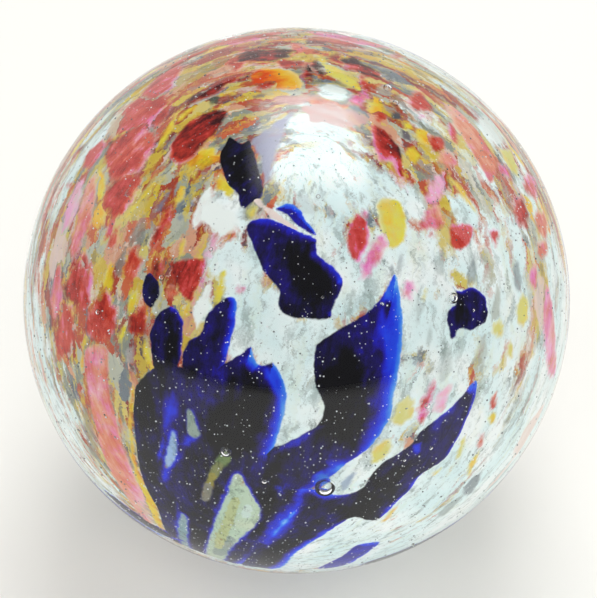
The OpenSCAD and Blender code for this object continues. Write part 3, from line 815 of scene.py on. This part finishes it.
# Yellow glass from lemon to amber: pale and clear where it is thin, and ochre or orange where it is thick.
amber.data.materials.append(cased_glass(
    "amber_glass", lambda nodes: chip_colour(nodes, 0.5, LEMON_RAMP, HONEY_RAMP)))
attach(amber, "root")
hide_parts("amber_chips")

# ------------------------------------------------------------- opal trails
# Thin smears of other opal glass on the core's skin: white, lavender, pink and slate blue, and
# the pale fold where the skin was pinched as it was turned over. They are part of the core. Some are
# painted light: the pale blush streaks at the rims are painted reflection, and the lavender patch and
# the pale streaks under the overhead soft box are partly painted glare.
TRAIL_GLASS = {
    "slate blue": "#5d7fa0", "grey blue": "#7588a0", "steel": "#4a6272", "pale blue": "#9db0c8",
    "lavender": "#989cb6", "dark smoke": "#555a60", "plum": "#5b5060", "bottle green": "#4c5c50",
    "brown smoke": "#6d5f5c", "umber": "#6b5a35", "ash": "#838f94", "stone": "#8d8b82", "mist": "#9aa8a4",
    "pale mist": "#b0b5b4", "sage": "#a3a695", "white": "#e9f2ee", "milk": "#f3fbf8", "ice": "#dfe3ea",
    "cream": "#f3ecc4", "bone": "#cfc2a6", "putty": "#b8ab98", "sand": "#c9b288", "straw": "#cabb76",
    "old straw": "#bba65e", "mustard": "#bb9c34", "olive": "#8d8840", "ochre": "#c9853f", "rust": "#b06c34",
    "rose": "#ce9c96", "faded rose": "#ceb8b0", "peach": "#e4c2b2", "blush": "#e8d0c8",
    "pale blush": "#efe0da",
}
TRAIL_OUTLINES = [
    # (outline in pixels, fringe, depth, colour, layer)
    # The lavender patch is partly a dark blue glass and partly painted glare: the overhead soft box's
    # reflection, painted pale into its colour.
    ([(297, 110), (280, 118), (264, 130), (250, 141), (258, 158), (262, 176), (265, 190), (274, 176),
      (279, 158), (286, 136)], 0.5, 0.95, "lavender", 15.2),
    ([(247, 189), (254, 194), (264, 203), (276, 212), (292, 223), (313, 236), (300, 234), (284, 226),
      (268, 216), (256, 206), (249, 198)], 0.12, 1.0, "pale blush", 21),
    ([(286, 217), (292, 220), (302, 227), (295, 226)], 0.1, 1.0, "ice", 21.4),
    ([(221, 264), (214, 262), (206, 284), (193, 306), (192, 318), (197, 334), (203, 322), (211, 308),
      (213, 286)], 0.3, 1.0, "milk", 16.2),
    ([(200, 196), (212, 184), (222, 204), (238, 212), (240, 232), (222, 236), (206, 226), (196, 232),
      (190, 222)], 0.7, 1.0, "milk", 1),
]
TRAIL_STREAKS = [
    # (x, y, length, width, lean, depth, glass)
    (185, 177, 16, 9, 70, 0.9, "slate blue"), (191, 197, 28, 9, 104, 0.9, "slate blue"),
    (181, 218, 18, 9, 60, 0.8, "grey blue"), (213, 100, 20, 15, 20, 0.9, "bottle green"),
    (259, 97, 22, 8, 10, 0.8, "plum"), (389, 79, 14, 9, -30, 0.8, "dark smoke"),
    (396, 116, 16, 12, -20, 0.9, "dark smoke"), (406, 136, 22, 11, -50, 0.9, "plum"),
    (217, 143, 16, 5, -10, 0.9, "dark smoke"), (472, 484, 34, 12, 50, 0.9, "ash"),
    (450, 506, 40, 8, 40, 0.8, "mist"), (500, 478, 70, 9, 50, 0.6, "peach"),
    (530, 430, 80, 12, 62, 0.6, "peach"), (517, 276, 36, 11, 95, 0.8, "ash"),
    (392, 268, 24, 11, 100, 0.6, "steel"), (521, 299, 10, 6, 60, 0.9, "umber"),
    (336, 90, 32, 11, -15, 0.9, "white"), (491, 131, 46, 12, -50, 0.8, "white"),
    # The cream, rose, sand and faded rose streaks at pixels x 266 to 336, y 100 to 145 lie under the overhead
    # soft box's reflection: their pale colours are partly the glass's own and partly painted glare.
    (131, 354, 26, 15, 80, 0.7, "pale mist"), (312, 145, 34, 12, 0, 0.5, "cream"),
    (336, 116, 74, 26, -10, 0.8, "rose"), (300, 100, 60, 13, 3, 0.7, "rose"),
    (266, 112, 36, 8, 18, 0.7, "sand"), (332, 132, 60, 8, -16, 0.5, "faded rose"),
    (90, 432, 60, 14, 105, 0.6, "stone"), (348, 481, 28, 13, 50, 0.8, "pale blue"),
    (146, 195, 58, 13, 58, 0.8, "straw"), (140, 232, 46, 16, 66, 0.8, "stone"),
    (182, 187, 32, 16, 62, 0.8, "mist"), (122, 262, 36, 14, 72, 0.8, "stone"),
    (163, 203, 40, 10, 60, 0.8, "grey blue"), (199, 76, 46, 9, 30, 0.9, "mustard"),
    (215, 66, 46, 9, 20, 0.85, "olive"), (385, 92, 22, 14, -30, 0.8, "pale mist"),
    (120, 122, 44, 16, 55, 0.85, "bone"), (400, 262, 40, 12, 80, 0.5, "ash"),
    (420, 304, 50, 14, 85, 0.4, "mist"), (440, 262, 36, 14, 80, 0.45, "mist"),
    (472, 268, 50, 13, 80, 0.6, "ash"), (496, 306, 50, 12, 85, 0.6, "sage"),
    (446, 362, 50, 16, 80, 0.4, "mist"), (320, 344, 50, 14, 80, 0.3, "mist"),
    (284, 372, 50, 10, 80, 0.35, "mist"), (350, 232, 40, 12, 75, 0.4, "mist"),
    (304, 205, 24, 30, 60, 0.3, "pale mist"), (482, 352, 44, 13, 85, 0.45, "sage"),
    (430, 330, 40, 10, 84, 0.4, "mist"), (402, 104, 36, 10, -38, 0.6, "brown smoke"),
    (412, 118, 30, 8, -44, 0.6, "ochre"), (126, 128, 40, 14, 60, 0.5, "putty"),
    (360, 46, 50, 12, -15, 0.5, "faded rose"), (218, 326, 14, 6, 60, 0.6, "pale mist"),
    (188, 326, 24, 7, 70, 0.7, "stone"), (454, 212, 16, 12, 60, 0.5, "sage"),
    (230, 60, 46, 10, 14, 0.85, "rust"), (181, 82, 44, 12, 32, 0.8, "old straw"),
    # The blush and pale blush streaks at the left and right rims are painted reflection: the pale sheen of
    # the white table and sweep at the ball's edge.
    (60, 250, 70, 16, 80, 0.8, "blush"), (540, 300, 60, 14, 92, 0.8, "blush"),
    (550, 350, 60, 12, 95, 0.7, "pale blush"),
]
TRAIL_LAYER = 2


def trail_and_sheen_colour(nodes):
    """Each trail's own colour, broken up by the ground where it is thin. At the rims that colour is
    painted reflection, and under the overhead soft box it is partly painted glare.
    """
    body, cover = chip_body(nodes, 0.25)
    own = add(nodes, "Attribute", attribute_name="tint").outputs["Color"]
    share = add(nodes, "Math", {0: body, 1: cover}, operation="MULTIPLY", use_clamp=True).outputs[0]
    return add(nodes, "Mix", {"Factor": share, "A": opal_ground(nodes), "B": own},
               data_type="RGBA").outputs["Result"]


trails = bmesh.new()
for outline, fringe, depth, pot, layer in TRAIL_OUTLINES:
    lay_chip(trails, picked_up(outline), thin=0, fringe=fringe, edge=min(0.3, fringe), depth=depth, wedge=0,
             own=TRAIL_GLASS[pot], layer=layer, ragged=0.16)
for number, (x, y, length, width, lean, depth, pot) in enumerate(TRAIL_STREAKS):
    lay_chip(trails, streak(x, y, length, width, lean, 200 + number), thin=0, fringe=0.5, edge=0.4,
             depth=depth, wedge=0, own=TRAIL_GLASS[pot], layer=TRAIL_LAYER, ragged=0.22, fade=0.4)
trails = dress("opal_trails_and_painted_sheen", trails)
# Opal glass from other pots, trailed on thin: it shows as soft stains, from milk white to slate.
# # The pale streaks at the rims are painted reflection, and the lavender and pale pink ones under the
# # overhead soft box are partly painted glare.
trails.data.materials.append(cased_glass("opal_glass_trailed_and_painted_sheen", trail_and_sheen_colour))
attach(trails, "root")

# ------------------------------------------------------------ clear casing
# The casing is clear soda-lime glass, gathered over the core and polished by the fire. It holds
# the seeds, the tiny bubbles that cheap glass always has, and a few larger ones.
CASING_CUTS = 7
BUBBLE_CUTS = 3
LARGE_BUBBLES = [
    # (pixel x, pixel y, diameter in mm)
    (324, 480, 1.6), (228, 447, 1.0), (265, 478, 0.5), (386, 92, 0.7), (394, 106, 0.5), (380, 104, 0.4),
    (212, 250, 0.35), (101, 312, 0.45), (164, 278, 0.5), (449, 298, 0.9), (205, 180, 0.3), (318, 198, 0.35),
    (381, 304, 0.35), (471, 310, 0.3), (322, 297, 0.35), (425, 404, 0.5), (429, 446, 0.35), (403, 458, 0.3),
]
# How far clear of the core the air lies, in millimetres.
AIR_CLEARANCE = 0.1


def drop_of_air(name, cuts, facing_in=False):
    """A round form of 1 mm, to be copied for every bubble of its kind. Its faces look in where it is a
    hollow, because the glass is outside it."""
    drop = bmesh.new()
    bmesh.ops.create_icosphere(drop, subdivisions=cuts, radius=0.5 * MM)
    if facing_in:
        bmesh.ops.reverse_faces(drop, faces=drop.faces)
    mesh = bpy.data.meshes.new(name)
    drop.to_mesh(mesh)
    drop.free()
    return mesh


def blow(built, drop, place, size):
    """Blows one bubble, at a place and of a size in millimetres."""
    bubble = drop.copy()
    bubble.transform(Matrix.Translation(Vector(place) * MM) @ Matrix.Scale(size, 4))
    built.from_mesh(bubble)
    bpy.data.meshes.remove(bubble)


glass = bmesh.new()
bmesh.ops.create_icosphere(glass, subdivisions=CASING_CUTS, radius=BALL_R * MM)
hollow = drop_of_air("hollow", BUBBLE_CUTS, facing_in=True)
for x, y, size in LARGE_BUBBLES:
    blow(glass, hollow, seen_at(x, y) * (CORE_R + size * 0.5 + AIR_CLEARANCE), size)
casing = dress("clear_casing_ball", glass)
# Soda-lime glass polished by the fire: clear with a faint green tinge, and a skin that isn't quite
# true, in waves 8 mm long. It bends the sight line, so that the core seems to fill the ball.
soda_lime, nodes = bare_material("soda_lime_glass_fire_polished")
place = add(nodes, "TexCoord").outputs["Object"]
wave = add(nodes, "TexNoise", {"Vector": place, "Scale": 120, "Detail": 1})
skin = add(nodes, "Bump", {"Height": wave.outputs["Fac"], "Strength": 0.02, "Distance": 0.0002})
body = add(nodes, "BsdfPrincipled", {"Base Color": (1, 1, 1, 1), "Roughness": 0.0, "IOR": GLASS_IOR,
                                     "Transmission Weight": 1.0, "Normal": skin.outputs[0]})
tinge = add(nodes, "VolumeAbsorption", {"Color": linear("#e9f2ec"), "Density": 3.0})
add(nodes, "OutputMaterial", {"Surface": body.outputs[0], "Volume": tinge.outputs[0]})
casing.data.materials.append(soda_lime)
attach(casing, "root")
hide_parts("clear_casing")

# ------------------------------------------------------------------- seeds
# Seeds are the air that cheap glass keeps, in beads under 0.2 mm, most of them caught where the
# casing was gathered over the core. A bead bends the light so much that it shows as a grey dot,
# dark on the opal and pale on the cobalt, and it is drawn as that: its colour is painted light, a
# painted highlight where it is pale and a painted shade where it is dark.
SEED_COUNT = 6400
SEED_LEAST, SEED_MOST = 0.05, 0.17
SEED_DEPTH = 2.2
SEED_SIGHT = BALL_R - CORE_R + 0.02
# Most seeds are small and lie low: a higher power makes the large or high ones rarer.
SEED_SMALLNESS = 3
SEED_LOWNESS = 4
PALE_ON_COBALT = 0.85
PALE_ON_OPAL = (0.0, 0.3, 1.0)
PALE_SHARES = (0.36, 0.34, 0.3)

bead = drop_of_air("bead", 1)
seeds = bmesh.new()
pale = []
rng = np.random.default_rng(21)
for way in rng.normal(size=(SEED_COUNT, 3)):
    size = SEED_LEAST + (SEED_MOST - SEED_LEAST) * rng.random() ** SEED_SMALLNESS
    depth = CORE_R + AIR_CLEARANCE + SEED_DEPTH * rng.random() ** SEED_LOWNESS
    way = Vector(way / np.linalg.norm(way))
    over_cobalt = cobalt_tree.ray_cast(way * BALL_R * MM, -way, SEED_SIGHT * MM)[0] is not None
    pale.append(PALE_ON_COBALT if over_cobalt else rng.choice(PALE_ON_OPAL, p=PALE_SHARES))
    blow(seeds, bead, way * depth, size)
seeds = dress("air_seeds", seeds)
shine = seeds.data.attributes.new("pale", "FLOAT", "POINT")
shine.data.foreach_set("value", np.repeat(pale, len(bead.vertices)).astype(np.float32))


def seed_painted_glint_and_shade(nodes):
    """Painted highlight and painted shade: pale over the cobalt, and pale or dark over the opal, with some
    spread.
    """
    place = add(nodes, "TexCoord").outputs["Object"]
    vary = add(nodes, "TexNoise", {"Vector": place, "Scale": 900, "Detail": 2})
    vary = add(nodes, "MapRange", {"Value": vary.outputs["Fac"], "To Min": -0.3, "To Max": 0.3})
    shine = add(nodes, "Attribute", attribute_name="pale").outputs["Fac"]
    shine = add(nodes, "Math", {0: shine, 1: vary.outputs[0]}, use_clamp=True).outputs[0]
    return add(nodes, "ValToRGB", {"Fac": shine}, [(0, "#5f6c70"), (1, "#f2f8fb")]).outputs["Color"]


# Air in glass: each bead's colour is painted light, the light or the dark round it gathered into one grey
# dot.
seeds.data.materials.append(cased_glass("air_seeds_painted_glint_and_shade", seed_painted_glint_and_shade))
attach(seeds, "root")

# ---------------------------------------------------- table, lamps, camera
# A white table under one overhead soft box, with a white sweep round its far side, in a dim room.
# A fill from the front and one from the table light the ball's near side, and aren't mirrored in it.
IMAGE_W, IMAGE_H = 597, 598
SENSOR = 36.0
TABLE_SPAN = 3.0
TABLE_CUTS = 24
SWEEP_R, SWEEP_H = 1.1, 0.8
SWEEP_LEAN = 0.15

table = bmesh.new()
bmesh.ops.create_grid(table, x_segments=TABLE_CUTS, y_segments=TABLE_CUTS, size=TABLE_SPAN / 2)
bmesh.ops.translate(table, verts=table.verts, vec=(0, 0, -BALL_R * MM))
table = placed("table", table)
# Matt white paper. The camera sees it a little lighter than it lights the ball.
paper, nodes = bare_material("white_table")
seen = add(nodes, "LightPath").outputs["Is Camera Ray"]
matt = add(nodes, "BsdfDiffuse", {"Color": linear("#c5c4bf")})
lift = add(nodes, "MapRange", {"Value": seen, "To Min": 0.15, "To Max": 0.25})
glow = add(nodes, "Emission", {"Color": linear("#fdfdfb"), "Strength": lift.outputs[0]})
surface = add(nodes, "AddShader", {0: matt.outputs[0], 1: glow.outputs[0]})
add(nodes, "OutputMaterial", {"Surface": surface.outputs[0]})
table.data.materials.append(paper)

sweep = bmesh.new()
foot = sweep.verts.new((SWEEP_R, 0, -BALL_R * MM))
head = sweep.verts.new((SWEEP_R + SWEEP_LEAN, 0, SWEEP_H))
edge = sweep.edges.new((foot, head))
bmesh.ops.spin(sweep, geom=[foot, head, edge], cent=(0, 0, 0), axis=(0, 0, 1), angle=pi, steps=48)
sweep = placed("white_sweep", sweep)
# White paper that glows as if lit from behind. The ball's edge bends it round into a pale rim.
lit, nodes = bare_material("lit_white_sweep")
glow = add(nodes, "Emission", {"Color": linear("#fdfdfb"), "Strength": 0.95})
add(nodes, "OutputMaterial", {"Surface": glow.outputs[0]})
sweep.data.materials.append(lit)

world = bpy.data.worlds.new("dim_room")
bpy.context.scene.world = world
world.use_nodes = True
room = world.node_tree.nodes["Background"].inputs
room["Color"].default_value = linear("#fbfaf8")
room["Strength"].default_value = 0.18


def soft_box(name, place, size, radiance, aim, mirrored=True):
    """A flat lamp that faces its aim, out of the camera's sight, and dims over this share of its edges."""
    feather = 0.3
    lamp = bpy.data.lights.new(name, "AREA")
    lamp.shape, lamp.size, lamp.size_y = "RECTANGLE", size[0], size[1]
    lamp.energy = radiance * pi * size[0] * size[1]
    holder = bpy.data.objects.new(name, lamp)
    holder.location = place
    holder.rotation_euler = (Vector(aim) - Vector(place)).to_track_quat("-Z", "Y").to_euler()
    holder.visible_camera = False
    holder.visible_glossy = mirrored
    bpy.context.scene.collection.objects.link(holder)
    lamp.use_nodes = True
    nodes = lamp.node_tree.nodes
    spot = add(nodes, "NewGeometry").outputs["Parametric"]
    spot = add(nodes, "VectorMath", {0: spot, 1: (0.5, 0.5, 0.0)}, operation="SUBTRACT").outputs[0]
    spot = add(nodes, "VectorMath", {0: spot}, operation="ABSOLUTE").outputs[0]
    spot = add(nodes, "SeparateXYZ", {"Vector": spot})
    falls = [add(nodes, "MapRange", {"Value": spot.outputs[i], "From Min": 0.5, "From Max": 0.5 - feather},
                 interpolation_type="SMOOTHSTEP").outputs[0] for i in (0, 1)]
    both = add(nodes, "Math", {0: falls[0], 1: falls[1]}, operation="MULTIPLY").outputs[0]
    lamp.node_tree.links.new(both, nodes["Emission"].inputs["Strength"])


soft_box("overhead_soft_box", (0.055, 0.165, 0.5), (0.46, 0.68), 6.0, (0.055, 0.165, 0))
soft_box("front_fill", (0, -0.38, 0.42), (0.5, 0.4), 5.4, (0, 0, 0), mirrored=False)
soft_box("under_fill", (0, 0, (0.1 - BALL_R) * MM), (0.5, 0.5), 1.0, (0, 0, 1), mirrored=False)

eye = bpy.data.cameras.new("camera")
eye.sensor_width = SENSOR
eye.lens = FOCAL_PX / IMAGE_W * SENSOR
eye.shift_x = (IMAGE_W / 2 - BALL_X) / IMAGE_H
eye.shift_y = (BALL_Y - IMAGE_H / 2) / IMAGE_H
eye.clip_start = 0.01
camera = bpy.data.objects.new("camera", eye)
camera.location = EYE * EYE_FAR * MM
camera.rotation_euler = (radians(90 - EYE_RISE), 0, 0)
bpy.context.scene.collection.objects.link(camera)
bpy.context.scene.camera = camera
bpy.context.scene.view_settings.view_transform = "Standard"
